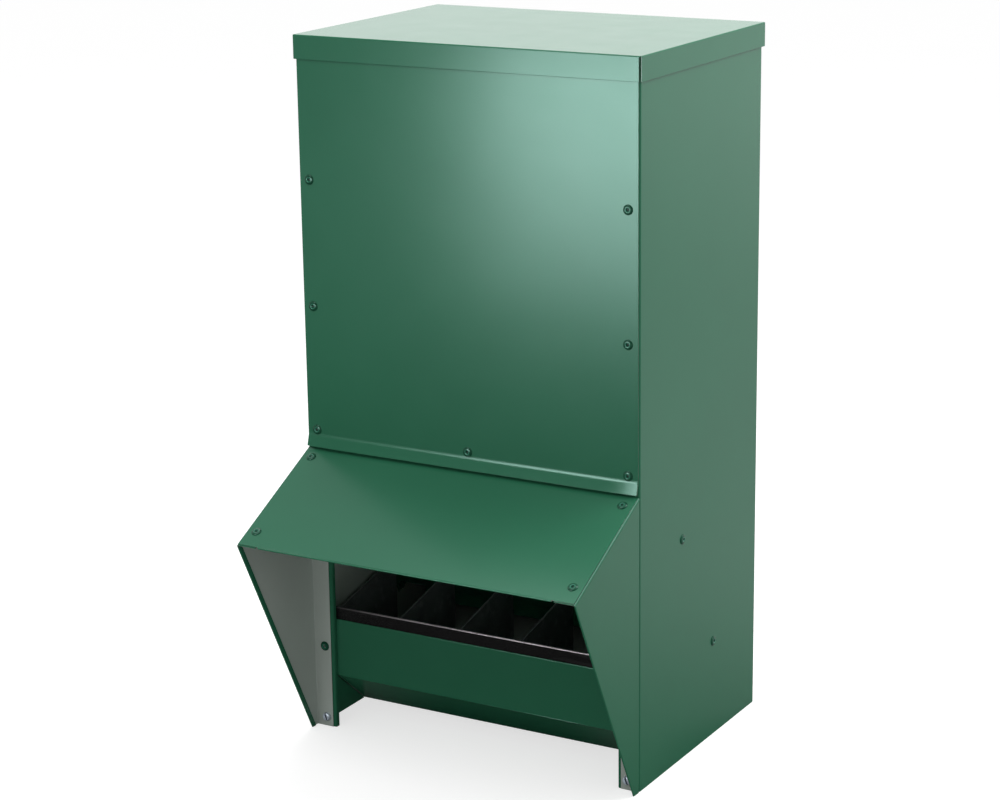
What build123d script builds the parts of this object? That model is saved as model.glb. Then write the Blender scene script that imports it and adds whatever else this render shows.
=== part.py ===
from build123d import *
import math
import os

# Gravity feeder for hens, folded from coated steel sheet. Millimetres, +Z up, front towards -Y.
# The functions work from the front panel's outer face at y = 0 and the floor at z = 0. At the
# end every piece is moved so that the origin is the centre of the outline's base on the floor.

# Sheet
sheet = 0.7
bend = 1.2
outer_layer = sheet / 2
inner_layer = sheet * 1.5
slit = 2.0

# Case
case_width = 300.0
case_depth = 215.0
case_top = 572.8
half_width = case_width / 2
side_middle = half_width - sheet / 2
side_inside = half_width - sheet
flange_edge = 131.0
return_end = 5.0
cover_half = 148.7
between_flanges = 130.0
panel_low = 2.0
rear_inner = case_depth - inner_layer

# Lid
lid_half = 151.45
lid_front = -1.0
lid_back = 217.3
lid_skirt_low = 554.4
lid_top = case_top + sheet
lid_bend = 1.0
lid_slit_top = case_top - 0.2

# Front panel
panel_top = 571.5
panel_bend_z = 250.65
drip_round = 8.0
drip_out = 3.0
drip_low = 242.3

# Rain hood and wings
hood_rear_z = 240.4
hood_front_y = -104.0
hood_front_z = 187.7
hood_half = 149.0
hood_flange_top = 263.0
hood_hem = 8.0
hood_lap = 4.0
wing_tip_y = -8.5
wing_flange_edge = 134.0
wing_top_flange = 18.0
wing_hem = 4.2
wing_clear = 0.03
wing_setback = 0.6

# Feed baffle
baffle_top = 345.0
baffle_bend_z = 333.5
baffle_low_y = 143.8
baffle_low_z = 78.4
baffle_lip_z = 68.0
baffle_flange = 13.0
baffle_flange_start = 46.0
baffle_cut_back = 8.0
baffle_edge = 2.0
baffle_play = 0.05

# Trough
trough_front = 5.6
trough_top = 93.7
trough_fold_z = 45.0
trough_low_y = 46.0
trough_low_z = 10.9
trough_rear_z = 65.5
trough_rear_flange = 85.0
trough_half = 148.6
trough_hem = 6.0
trough_lap = 9.0
bracket_low = 10.7
bracket_top = 47.5
bracket_fold_z = 44.3
bracket_reach = 44.5
bracket_tab = 148.0
bracket_tab_low = 2.0

# Liner and dividers
liner_wall = 2.0
liner_half = 144.7
liner_end = 1.8
liner_front = 7.75
liner_top = 104.0
liner_low_y = 46.3
liner_low_z = 12.55
liner_fold_z = 45.05
liner_rear_y = 122.0
liner_bend = 2.0
liner_round = 0.9
rail_y = 34.0
rail_z = 94.5
rail_slope = 0.227
divider_rear_y = 118.0
divider_pitch = 57.0
divider_wall = 1.8
divider_gap = 0.1
divider_relief = 0.9

# Fasteners
rivet_head = 4.0
rivet_rise = 1.25
rivet_body = 2.0
rivet_hole = 2.05
rivet_eye = 1.35
rivet_eye_low = -0.6
rivet_rim = 0.25
rivet_crown = (2.9, 0.95)
rivet_bulb = 2.9
rivet_bulb_low = 2.6
rivet_tail = 1.6
rivet_tail_low = 3.4
rivet_column = 140.3
rivet_row = 256.0
rivet_pitch = 102.0
hood_rivet_column = 140.5
hood_rivet_rear = 11.0
hood_rivet_front = 100.0
baffle_rivet_high = (74.8, 185.3)
baffle_rivet_low = (132.9, 81.5)
wing_rivet_column = 139.8
wing_rivet_low = 70.4
wing_rivet_high = 170.0
back_rivet_low = 52.0
trough_rivet_z = 76.0
trough_rivet_pitch = 90.0
screw_column = 139.7
screw_z = 8.3
screw_head = 3.5
screw_head_rise = 2.4
screw_head_round = 1.2
screw_body = 2.0
screw_length = 9.0
screw_slot = 1.0
screw_slot_depth = 1.2
nut_flats = 7.0
nut_height = 3.2
nut_bore = 2.05

hood_slope = (hood_rear_z - hood_front_z) / -hood_front_y
hood_angle = math.atan(hood_slope)
baffle_slope = (baffle_bend_z - baffle_low_z) / (baffle_low_y - inner_layer)
baffle_angle = math.atan(baffle_slope)
floor_slope = (trough_rear_z - trough_low_z) / (rear_inner - trough_low_y)
floor_angle = math.atan(floor_slope)


def folded(*corners):
    """Section of one sheet folded along the corners of its middle line."""
    return trace(FilletPolyline(*corners, radius=bend), line_width=sheet)


def across(section, half):
    """Carry a section in the Y-Z plane across the case, the same way to both sides."""
    return extrude(Plane.YZ * section, amount=half, both=True)


def upright(section, low, high):
    """Carry a section in the X-Y plane up from one height to another."""
    return Pos(0, 0, low) * extrude(section, amount=high - low)


def side_plate(corners, inner_x, outer_x):
    """A flat plate with its corners in the Y-Z plane, between two distances to the right."""
    outline = Plane.YZ * make_face(Polyline(*corners, close=True))
    return Pos(inner_x, 0, 0) * extrude(outline, amount=outer_x - inner_x)


def other_side(shape):
    """The same shape on the left-hand side."""
    return mirror(shape, about=Plane.YZ)


def block(low, high):
    """A box between two opposite corners."""
    sizes = [high[i] - low[i] for i in range(3)]
    centre = [(high[i] + low[i]) / 2 for i in range(3)]
    return Pos(*centre) * Box(*sizes)


def hood_height(y):
    """Height of the hood's upper face."""
    return hood_rear_z + hood_slope * y


def baffle_point(y, towards_mouth):
    """A point on the baffle's middle line, moved square to it towards the mouth."""
    z = baffle_bend_z - baffle_slope * (y - inner_layer)
    return (
        y - towards_mouth * math.sin(baffle_angle),
        z - towards_mouth * math.cos(baffle_angle),
    )


def rail_height(y):
    """Height of the dividers' top edges, which rise towards the back."""
    return rail_z + rail_slope * (y - rail_y)


def liner_height(y):
    """Height of the liner's middle line on its rear slope."""
    return liner_low_z + floor_slope * (y - liner_low_y)


def front_points():
    """Rivet centres on the front panel: three down each side and one at the bottom centre."""
    points = [(0, 0, rivet_row)]
    for step in range(3):
        for x in (-rivet_column, rivet_column):
            points.append((x, 0, rivet_row + step * rivet_pitch))
    return points


def back_points():
    """Rivet centres on the back panel: five down each side and a row into the trough."""
    points = [(step * trough_rivet_pitch, case_depth, trough_rivet_z) for step in (-1, 0, 1)]
    for step in range(5):
        for x in (-rivet_column, rivet_column):
            points.append((x, case_depth, back_rivet_low + step * rivet_pitch))
    return points


def baffle_points():
    """Rivet centres on the two sides of the case, which hold the baffle's flanges."""
    points = []
    for x in (-half_width, half_width):
        for y, z in (baffle_rivet_high, baffle_rivet_low):
            points.append((x, y, z))
    return points


def wing_points():
    """Rivet centres on the wings' rear flanges."""
    points = []
    for x in (-wing_rivet_column, wing_rivet_column):
        for z in (wing_rivet_low, wing_rivet_high):
            points.append((x, 0, z))
    return points


def screw_points():
    """Screw centres near the floor on the wings' rear flanges."""
    return [(x, 0, screw_z) for x in (-screw_column, screw_column)]


def hood_points():
    """Rivet centres on the hood's slope, at two distances down from its rear edge."""
    points = []
    for x in (-hood_rivet_column, hood_rivet_column):
        for down in (hood_rivet_rear, hood_rivet_front):
            y = -down * math.cos(hood_angle)
            points.append((x, y, hood_height(y)))
    return points


def drill(shape, points, direction):
    """Make a rivet hole through the sheets at every point."""
    for point in points:
        tool = Cylinder(rivet_hole, 12)
        shape = shape - Plane(origin=point, z_dir=direction).location * tool
    return shape


def make_side_panel():
    """Right side: a flat side with a folded front flange, its short return and a rear flange."""
    section = folded(
        (flange_edge + sheet / 2, return_end),
        (flange_edge + sheet / 2, inner_layer),
        (side_middle, inner_layer),
        (side_middle, rear_inner),
        (flange_edge, rear_inner),
    )
    panel = upright(section, 0, case_top)
    panel = drill(panel, front_points(), (0, -1, 0))
    panel = drill(panel, back_points(), (0, 1, 0))
    panel = drill(panel, wing_points() + screw_points(), (0, -1, 0))
    return drill(panel, baffle_points(), (1, 0, 0))


def make_front_panel():
    """Front: a flat panel whose lowest strip leans forward as a drip edge over the hood."""
    corners = [(outer_layer, panel_top), (outer_layer, panel_bend_z), (-drip_out, drip_low)]
    section = trace(FilletPolyline(*corners, radius=drip_round), line_width=sheet)
    return drill(across(section, cover_half), front_points(), (0, -1, 0))


def make_back_panel():
    """Back: a plain sheet over the side panels' rear flanges."""
    panel = block((-cover_half, case_depth - sheet, panel_low), (cover_half, case_depth, panel_top))
    return drill(panel, back_points(), (0, 1, 0))


def make_rain_hood():
    """Sloping roof over the mouth, with a flange up behind the front panel and a hemmed edge."""
    drop = sheet / math.cos(hood_angle)
    roof = side_plate(
        [
            (0, hood_height(0)),
            (hood_front_y, hood_front_z),
            (hood_front_y + sheet * math.sin(hood_angle), hood_front_z - sheet * math.cos(hood_angle)),
            (0, hood_height(0) - drop),
        ],
        -hood_half,
        hood_half,
    )
    root = folded(
        (inner_layer, hood_flange_top),
        (inner_layer, hood_height(inner_layer) - drop / 2),
        (-hood_lap, hood_height(-hood_lap) - drop / 2),
    )
    back = 2 * sheet
    hem_start = (hood_front_y + back * math.sin(hood_angle), hood_front_z - back * math.cos(hood_angle))
    hem_end_y = hem_start[0] + hood_hem * math.cos(hood_angle)
    hem_end_z = hem_start[1] + hood_hem * math.sin(hood_angle)
    up_y = sheet * math.sin(hood_angle)
    up_z = sheet * math.cos(hood_angle)
    hem = side_plate(
        [
            hem_start,
            (hem_end_y, hem_end_z),
            (hem_end_y - up_y, hem_end_z + up_z),
            (hem_start[0] - up_y, hem_start[1] + up_z),
        ],
        -between_flanges,
        between_flanges,
    )
    hood = roof + across(root, between_flanges) + hem
    hood = drill(hood, [(0, 0, rivet_row)], (0, -1, 0))
    return drill(hood, hood_points(), (0, -math.sin(hood_angle), math.cos(hood_angle)))


def make_wing():
    """Right wing: a triangular cheek with a rear flange, a top flange and a hemmed front edge."""
    drop = sheet / math.cos(hood_angle)
    under_hood = drop + wing_clear
    front_y = hood_front_y + wing_setback
    front_z = hood_height(front_y) - under_hood
    rear_z = hood_height(sheet) - under_hood
    cheek = side_plate(
        [(sheet, rear_z), (front_y, front_z), (wing_tip_y, 0), (sheet, 0)],
        side_inside,
        half_width,
    )
    rear_flange = block((wing_flange_edge, 0, 0), (half_width, sheet, hood_height(0) - under_hood))
    top_flange = side_plate(
        [(sheet, rear_z), (front_y, front_z), (front_y, front_z - drop), (sheet, rear_z - drop)],
        half_width - wing_top_flange,
        half_width,
    )
    lean = (front_y - wing_tip_y) / front_z
    width = wing_hem * math.hypot(1, lean)
    hem_top = front_z - 2 * sheet
    hem_front = wing_tip_y + lean * hem_top
    hem = side_plate(
        [(hem_front, hem_top), (wing_tip_y, 0), (wing_tip_y + width, 0), (hem_front + width, hem_top)],
        side_inside - sheet,
        side_inside,
    )
    wing = cheek + rear_flange + top_flange + hem
    rear_bend = wing.edges().filter_by(Axis.Z).group_by(Axis.X)[-1].group_by(Axis.Y)[-1]
    wing = fillet(rear_bend, bend - sheet / 2)
    wing = drill(wing, wing_points() + screw_points(), (0, -1, 0))
    return drill(wing, hood_points(), (0, -math.sin(hood_angle), math.cos(hood_angle)))


def make_feed_baffle():
    """Inner plate that slopes down and back from the front panel and meters the feed."""
    core = across(
        folded(
            (inner_layer, baffle_top),
            (inner_layer, baffle_bend_z),
            (baffle_low_y, baffle_low_z),
            (baffle_low_y, baffle_lip_z),
        ),
        between_flanges,
    )
    half = sheet / 2
    high = return_end + baffle_edge
    low = baffle_low_y - baffle_edge
    reach = side_inside - baffle_play
    outline = [
        baffle_point(high, half),
        baffle_point(high, -half),
        baffle_point(low, -half),
        baffle_point(low, half),
    ]
    slope = side_plate(outline, -reach, reach)
    flange = side_plate(
        [
            baffle_point(baffle_flange_start, 0),
            baffle_point(low, 0),
            baffle_point(low - baffle_edge, baffle_flange),
            baffle_point(baffle_flange_start + baffle_cut_back, baffle_flange),
        ],
        reach - sheet,
        reach,
    )
    return drill(core + slope + flange + other_side(flange), baffle_points(), (1, 0, 0))


def make_trough():
    """Feed trough: front wall, a slope down under it, and a floor that rises to the back."""
    pan = across(
        folded(
            (trough_front, trough_top),
            (trough_front, trough_fold_z),
            (trough_low_y, trough_low_z),
            (rear_inner - sheet, trough_rear_z - floor_slope * sheet),
        ),
        trough_half,
    )
    tail = across(
        folded(
            (rear_inner - trough_lap, trough_rear_z - floor_slope * trough_lap),
            (rear_inner, trough_rear_z),
            (rear_inner, trough_rear_flange),
        ),
        between_flanges,
    )
    behind = trough_front + sheet / 2
    hem = block((-trough_half, behind, trough_top - trough_hem), (trough_half, behind + sheet, trough_top))
    return drill(pan + tail + hem, back_points(), (0, 1, 0))


def make_trough_bracket():
    """Right bracket: a tab behind the side flange and a gusset under the trough's front slope."""
    wall = flange_edge + 1.5 * sheet
    tab_layer = 2.5 * sheet
    fall = (trough_fold_z - trough_low_z) / (trough_low_y - trough_front)
    top = bracket_fold_z - fall * (bracket_reach - trough_front)
    section = folded((bracket_tab, tab_layer), (wall, tab_layer), (wall, bracket_reach))
    bracket = upright(section, 0, bracket_top)
    over = side_plate(
        [
            (trough_front - sheet, bracket_fold_z),
            (bracket_reach, top),
            (bracket_reach, bracket_top),
            (trough_front - sheet, bracket_top),
        ],
        wall - sheet,
        wall + sheet,
    )
    under = block((wall - sheet, 3.6 * sheet, 0), (wall + sheet, bracket_reach, bracket_low))
    toe = block((wall - sheet, 0, 0), (bracket_tab, 4 * sheet, bracket_tab_low))
    return drill(bracket - over - under - toe, screw_points(), (0, -1, 0))


def make_trough_liner():
    """Black moulded liner: a front wall that stands up as the lip, a sloping floor and two ends."""
    path = FilletPolyline(
        (liner_front, liner_top),
        (liner_front, liner_fold_z),
        (liner_low_y, liner_low_z),
        (liner_rear_y, liner_height(liner_rear_y)),
        radius=liner_bend,
    )
    shell = across(trace(path, line_width=liner_wall), liner_half)
    crest = shell.edges().filter_by(Axis.X).group_by(Axis.Z)[-1]
    shell = fillet(crest, liner_round)
    end = side_plate(
        [
            (liner_front, liner_fold_z),
            (liner_low_y, liner_low_z),
            (divider_rear_y, liner_height(divider_rear_y)),
            (divider_rear_y, rail_height(divider_rear_y)),
            (liner_front, rail_height(liner_front)),
        ],
        liner_half - liner_end,
        liner_half,
    )
    return shell + end + other_side(end)


def make_divider(x):
    """One upright plate across the trough, with its top edge rising to the back."""
    rise = (liner_wall / 2 + divider_gap) / math.cos(floor_angle)
    front = liner_front + liner_wall / 2 + divider_gap
    low_y = liner_low_y + divider_relief / 2
    return side_plate(
        [
            (front, liner_fold_z + divider_relief),
            (low_y, liner_height(low_y) + rise + divider_relief),
            (divider_rear_y, liner_height(divider_rear_y) + rise),
            (divider_rear_y, rail_height(divider_rear_y)),
            (front, rail_height(front)),
        ],
        x - divider_wall / 2,
        x + divider_wall / 2,
    )


def make_lid():
    """Loose lid: a flat top with four folded skirts and a narrow slit at each corner."""
    shell = block((-lid_half, lid_front, lid_skirt_low), (lid_half, lid_back, lid_top))
    rim = shell.edges().group_by(Axis.Z)[-1]
    shell = fillet(rim, lid_bend)
    inside = block(
        (-lid_half + sheet, lid_front + sheet, lid_skirt_low - 1),
        (lid_half - sheet, lid_back - sheet, case_top),
    )
    lid = shell - inside
    for x in (-lid_half + sheet + slit / 2, lid_half - sheet - slit / 2):
        for y in (lid_front, lid_back):
            lid = lid - Pos(x, y, lid_slit_top) * Box(slit, 2 * sheet, 2 * (lid_slit_top - lid_skirt_low))
    return lid


def make_rivet(grip):
    """Blind rivet: domed head with the mandrel's eye, a body through the sheets and its bulb."""
    dome = ThreePointArc((rivet_eye, rivet_rise), rivet_crown, (rivet_head, rivet_rim))
    shank = Polyline(
        (rivet_head, rivet_rim),
        (rivet_head, 0),
        (rivet_body, 0),
        (rivet_body, -grip),
        (rivet_bulb, -grip - 2 * rivet_rim),
        (rivet_bulb, -grip - rivet_bulb_low),
        (rivet_tail, -grip - rivet_tail_low),
        (0, -grip - rivet_tail_low),
        (0, rivet_eye_low),
        (rivet_eye, rivet_eye_low),
        (rivet_eye, rivet_rise),
    )
    return revolve(Plane.XZ * make_face([dome, shank]), Axis.Z)


def set_in(shape, points, direction):
    """Place one copy of a fastener at every point, its head facing the given way."""
    return [Plane(origin=point, z_dir=direction).location * shape for point in points]


def make_side_rivets():
    """Rivets through both sides of the case into the baffle's flanges."""
    rivet = make_rivet(2 * sheet + baffle_play)
    right = [point for point in baffle_points() if point[0] > 0]
    left = [point for point in baffle_points() if point[0] < 0]
    return Compound(set_in(rivet, right, (1, 0, 0)) + set_in(rivet, left, (-1, 0, 0)))


def make_screw():
    """Slotted pan-head screw."""
    head = Pos(0, 0, screw_head_rise / 2) * Cylinder(screw_head, screw_head_rise)
    head = fillet(head.edges().group_by(Axis.Z)[-1], screw_head_round)
    slot = Pos(0, 0, screw_head_rise) * Box(3 * screw_head, screw_slot, 2 * screw_slot_depth)
    body = Pos(0, 0, -screw_length / 2) * Cylinder(screw_body, screw_length)
    return head - slot + body


def make_nut():
    """Hexagon nut behind the bracket's tab."""
    prism = extrude(RegularPolygon(nut_flats / 2, 6, major_radius=False), amount=-nut_height)
    nut = Pos(0, 0, -3 * sheet) * prism
    return nut - Cylinder(nut_bore, 2 * screw_length)


def save(name, shape):
    """Move a piece to the common origin and write its STEP file."""
    base_centre = (lid_back + hood_front_y) / 2
    export_step(Pos(0, -base_centre, 0) * shape, "parts/" + name + ".step")


def main():
    os.makedirs("parts", exist_ok=True)
    side = make_side_panel()
    save("right_side_panel", side)
    save("left_side_panel", other_side(side))
    save("front_panel", make_front_panel())
    save("back_panel", make_back_panel())
    save("rain_hood", make_rain_hood())
    wing = make_wing()
    save("right_wing", wing)
    save("left_wing", other_side(wing))
    save("feed_baffle", make_feed_baffle())
    save("trough", make_trough())
    bracket = make_trough_bracket()
    save("right_trough_bracket", bracket)
    save("left_trough_bracket", other_side(bracket))
    save("trough_liner", make_trough_liner())
    for number in range(4):
        save("divider_" + str(number + 1), make_divider((number - 1.5) * divider_pitch))
    save("lid", make_lid())

    front, back = (0, -1, 0), (0, 1, 0)
    up_hood = (0, -math.sin(hood_angle), math.cos(hood_angle))
    save("front_rivets", Compound(set_in(make_rivet(2 * sheet), front_points(), front)))
    save("back_rivets", Compound(set_in(make_rivet(2 * sheet), back_points(), back)))
    save("hood_rivets", Compound(set_in(make_rivet(2 * sheet + wing_clear), hood_points(), up_hood)))
    save("wing_rivets", Compound(set_in(make_rivet(2 * sheet), wing_points(), front)))
    save("side_rivets", make_side_rivets())
    save("leg_screws", Compound(set_in(make_screw(), screw_points(), front)))
    save("leg_nuts", Compound(set_in(make_nut(), screw_points(), front)))


main()
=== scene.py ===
import math

import bpy
import numpy as np
from mathutils import Matrix, Vector


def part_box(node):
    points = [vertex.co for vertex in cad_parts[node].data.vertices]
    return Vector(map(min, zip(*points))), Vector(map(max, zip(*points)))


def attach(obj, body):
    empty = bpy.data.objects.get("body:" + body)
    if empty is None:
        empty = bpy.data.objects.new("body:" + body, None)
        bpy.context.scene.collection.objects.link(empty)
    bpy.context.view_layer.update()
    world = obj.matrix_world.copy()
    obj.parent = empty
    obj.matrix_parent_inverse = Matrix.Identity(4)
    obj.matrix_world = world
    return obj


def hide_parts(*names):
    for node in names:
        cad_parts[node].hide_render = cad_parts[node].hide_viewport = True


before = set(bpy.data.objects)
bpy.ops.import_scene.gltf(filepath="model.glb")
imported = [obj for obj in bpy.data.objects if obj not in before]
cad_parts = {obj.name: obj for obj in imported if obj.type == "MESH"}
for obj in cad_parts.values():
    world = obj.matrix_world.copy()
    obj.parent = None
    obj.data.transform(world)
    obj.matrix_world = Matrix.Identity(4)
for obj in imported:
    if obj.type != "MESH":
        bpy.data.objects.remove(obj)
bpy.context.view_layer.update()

# A gravity feeder for hens, folded from coated steel sheet: green outside, grey inside.
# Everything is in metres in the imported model's frame: +Z up, front towards -Y, floor at z = 0.

# Sheet steel and its folds
MM = 0.001
SHEET = 0.7 * MM
EDGE = 0.2 * MM
FLUSH = 0.01 * MM
BEND = 1.2 * MM
HEM_GAP = 0.8 * MM
HEM_BEND = 0.39 * MM
SHORT_RUN = 2 * BEND
LONG_RUN = 3 * BEND
LEAST_EDGES = 3
ARC_STEP = math.radians(15)
ROUND_OFF = 1e-6
RIM_ARC = np.radians([0, 30, 60, 90])
END_ARC = np.radians([30, 60, 84])
RIM_ROWS = np.array([0, 0.1, 1]) * MM
BEVEL_STEPS = 3
BEVEL_FROM = math.radians(40)
EVEN_WEIGHT = 100

# Sides, front panel and its drip strip
SIDE_RETURN = 4 * MM
BETWEEN_FLANGES = 130 * MM
DRIP_TOP = 253.3 * MM
DRIP_LOW = 242.2 * MM
DRIP_ROUND = 10 * MM
DRIP_LEAN = math.radians(22)
DRIP_END = 17 * MM
DRIP_END_LOSS = 0.28
DRIP_STEPS = 13
DRIP_COLUMNS = np.linspace(4, 60, 15) * MM
DRIP_ROWS = np.array([0.02, 0.98, 1])

# Hood, wings and baffle
HOOD_REAR_Z = 240.4 * MM
HOOD_FRONT_Z = 187.7 * MM
HOOD_HEM = 8 * MM
WING_FLANGE = 134 * MM
WING_TIP = 8.5 * MM
WING_HEM = 4.2 * MM
BAFFLE_TOP_BEND = 333.5 * MM
BAFFLE_LOW_BEND = 78.4 * MM
BAFFLE_FLANGE = 13 * MM
BAFFLE_FLANGE_START = 92 * MM

# Trough, its brackets and its black liner
TROUGH_FOLD_Z = 45 * MM
TROUGH_LOW_Y = -10.65 * MM
TROUGH_LOW_Z = 10.9 * MM
TROUGH_REAR_Z = 65.5 * MM
TROUGH_REAR_FLANGE = 85 * MM
TROUGH_HEM = 6 * MM
BRACKET_TAB_LOW = 2 * MM
BRACKET_WALL_LOW = 10.7 * MM
BRACKET_WALL_TOP = 44.3 * MM
LINER_WALL = 2 * MM
LINER_FOLD_Z = 45.05 * MM
LINER_LOW = (-10.35 * MM, 12.55 * MM)
LINER_BEND = 2 * MM
LINER_END = 1.8 * MM
LINER_ROUND = 0.6 * MM
LIP_ROUND = 0.9 * MM
LIP_TOP = 104 * MM
RAIL_SLOPE = 0.227
DIVIDERS = 4

# Lid, with the width of its slits on the left and on the right
LID_BEND = 1 * MM
LID_SLITS = (0.32 * MM, 1.4 * MM)
LID_EDGE = 0.3 * MM
LID_STEPS = 7
LID_RIM_STEPS = 3

# Rivets: the tables are parts of the outline as (radius, height), the bulb's below the last sheet
TURN_STEPS = 40
STEEP = 0.8
RIVET_RING = 2.15 * MM
RIVET_HEAD = 4 * MM
RIVET_RISE = 1.25 * MM
RIVET_RIM = 0.25 * MM
RIVET_CURVE = 1.25
RIVET_STEPS = 9
MANDREL = np.array([(0.2835, 0.2), (0.756, 0.15), (0.945, 0), (0.945, -0.5)]) * MM
EYE_WALL = np.array([(1.35, -0.5), (1.35, 1.1), (1.5, 1.25)]) * MM
HEAD_RIM = np.array([(4, 0.05), (3.9, 0), (2, 0)]) * MM
BULB = np.array([(2, -0.1), (2.9, -0.6), (2.9, -2.5), (2.1, -3.1), (1.6, -3.4), (0.3, -3.4)]) * MM
EYE_MARK = 1
RING_MARK = 0.5

# Screws and nuts
SCREW_HEAD = 3.5 * MM
SCREW_RISE = 2.4 * MM
SCREW_ROUND = 1.2 * MM
SCREW_SLOT = 1.3 * MM
SCREW_SLOT_DEPTH = 1.2 * MM
SCREW_BODY = 2 * MM
SCREW_LENGTH = 9 * MM
SCREW_TURN = math.radians(20)
SCREW_SIDE = math.pi / 2 - 0.08
SCREW_SIDE_STEPS = 12
SCREW_SLOT_STEPS = 5
SCREW_ROWS = 21
THREAD_PITCH = 0.7 * MM
THREAD_DEPTH = 0.35 * MM
THREAD_STEPS = 6
THREAD_START = 3 * THREAD_PITCH
NUT_FLATS = 7 * MM
NUT_HEIGHT = 3.2 * MM
NUT_BORE = 2.05 * MM
NUT_BEVEL = 0.3 * MM
NUT_LEVELS = np.array([0, 0.15, 0.3, 1.6, 2.9, 3.05, 3.2]) * MM
NUT_STEPS = 60
NUT_START = 3 * SHEET

# Places of the fasteners
FRONT_RIVET_X = 140.3 * MM
FRONT_RIVET_Z = 256 * MM
BACK_RIVET_Z = 52 * MM
RIVET_PITCH = 102 * MM
FRONT_ROWS = range(3)
BACK_ROWS = range(5)
TROUGH_RIVET_PITCH = 90 * MM
TROUGH_RIVET_Z = 76 * MM
HOOD_RIVET_X = 140.5 * MM
HOOD_RIVETS_DOWN = (11 * MM, 100 * MM)
WING_RIVET_X = 139.8 * MM
WING_RIVETS_Z = (70.4 * MM, 170 * MM)
SIDE_RIVETS = ((18.15 * MM, 185.3 * MM), (76.25 * MM, 81.5 * MM))
SCREW_X = 139.7 * MM
SCREW_Z = 8.3 * MM

# Green coat: a pattern is (grains to the metre, detail), and a step runs between a pair of values
GREEN = (0.0255, 0.15, 0.0795)
BACKING = (0.46, 0.51, 0.47)
RAW_EDGE = (0.06, 0.125, 0.09)
BARE_STEEL = (0.55, 0.55, 0.53)
GLOSS_TINT = (0.68, 1.0, 0.94, 1.0)
GLOSS_LEVEL = 0.42
TONE_SPREAD = 0.08
COAT_CLOUDS = (9, 3)
BACKING_CLOUDS = (14, 4)
HANDLING = (35, 4)
SPECKS = (2600, 1)
WAVES = (13, 1)
WAVE_HEIGHT = 0.12 * MM
PEEL = (900, 1)
PEEL_HEIGHT = 0.006 * MM
NICKS = (420, 3)
NICK_DEPTH = 0.5
CUT_EDGE = (0.8, 1.05)
CHIPS = (170, 3)
CHIPPED = (0.6, 0.68)
SIDE_CHANGE = (0.35, 0.65)

# Rivet lacquer
LACQUER_CLOUDS = (160, 2)
LACQUER_TONES = ((0.008, 0.066, 0.034), (0.011, 0.084, 0.044))
# Painted highlight on the rivets' flat ring round the eye
RING_HIGHLIGHT_COLOUR = (0.03, 0.17, 0.105)
# Pin in the eye: near black, partly its paint and partly painted shade in the recess
PIN_PAINT_AND_SHADE = (0.006, 0.016, 0.011)
PIN_SPREAD = 0.4
PIN_GRAIN = (1500, 2)
RING_HIGHLIGHT_NOISE = (900, 3)
RING_HIGHLIGHT_NOISE_DEPTH = 0.3
RING_HIGHLIGHT_STEP = (0.35, 0.6)
EYE_STEP = (0.6, 0.9)
LACQUER_HANDLING = (500, 3)
LACQUER_PEEL = (1300, 2)
LACQUER_PEEL_HEIGHT = 0.01 * MM

# Black plastic: a third part of a pattern is its stretch along X, Y and Z
BLACK = (0.0108, 0.0104, 0.011)
SCUFF_COLOUR = (0.022, 0.021, 0.022)
# Pale colour behind the lip: partly feed dust, partly painted fill light in the shade
DUST_AND_FILL_COLOUR = (0.17, 0.182, 0.184)
# Colour of the worn crests and of the painted highlight on the lip's brow
WORN_AND_HIGHLIGHT_COLOUR = (0.6, 0.55, 0.58)
BLACK_SPREAD = 0.2
BLACK_CLOUDS = (22, 3)
SPARKS = (1500, 2)
SPARK_HEIGHT = 0.02 * MM
SCUFFS = (120, 5, (0.12, 1, 1))
SCUFFED = (0.6, 0.75)
SCUFF_STRENGTH = 0.5
# Breakup of both the crests' wear and the painted highlight
BREAKUP = (60, 4, (0.2, 1, 1))
BREAKUP_STEP = (0.4, 0.65)
LEAST_BREAKUP = 0.55
DUST_AND_FILL_CLOUDS = (45, 4)
DUST_AND_FILL_LEAST, DUST_AND_FILL_SWING = 0.6, 0.6
DUST_AND_FILL_REACH = (-47 * MM, -30 * MM)
LIP_BACK = (-48.5 * MM, -47 * MM)
# Painted highlight on the lip's brow: its height, its span along X and its share at the left end
BROW_RISE = (LIP_TOP - 1.3 * MM, LIP_TOP - 0.8 * MM)
BROW_SPAN = (-140 * MM, 10 * MM)
BROW_LEFT = 0.12
# Crests worn lighter, with painted highlight that fades from the front to the back
CREST_RIM = (0.15, 0.6)
CREST_SPAN = (-47 * MM, 50 * MM)
CREST_FRONT, CREST_LOSS = 0.3, 0.22

# Zinc plating
ZINC_TONES = ((0.52, 0.6, 0.69), (0.68, 0.76, 0.85))
# Painted shade in the screws' slots
SLOT_SHADE_COLOUR = (0.03, 0.045, 0.075)
ZINC_CLOUDS = (300, 4)
ZINC_GRAIN = (1800, 2)
ZINC_GRAIN_HEIGHT = 0.01 * MM
SLOT_SHADE_STRENGTH = 0.9

# Studio light
LOW_PLACE = (-0.28, -1)
LOW_SIZE = (0.48, 0.105)
LOW_RADIANCES = (0.8, 7.8, 12.8, 17.5)
FRONT_PIECES = (
    "front_sheet",
    "lid_sheet",
    "hood_sheet",
    "trough_sheet",
    "liner_moulding",
    "front_rivet_heads",
    "hood_rivet_heads",
    "slotted_screws",
)
SKY_LIGHT = 0.592
SKY_IMAGE = 0.8
SKY_IMAGE_SPAN = (-0.7, 0)
ROOM_SHADE = 0.7
ROOM_SHADE_SPAN = (-0.95, -0.75)
ROOM_IMAGE = 0.096

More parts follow.
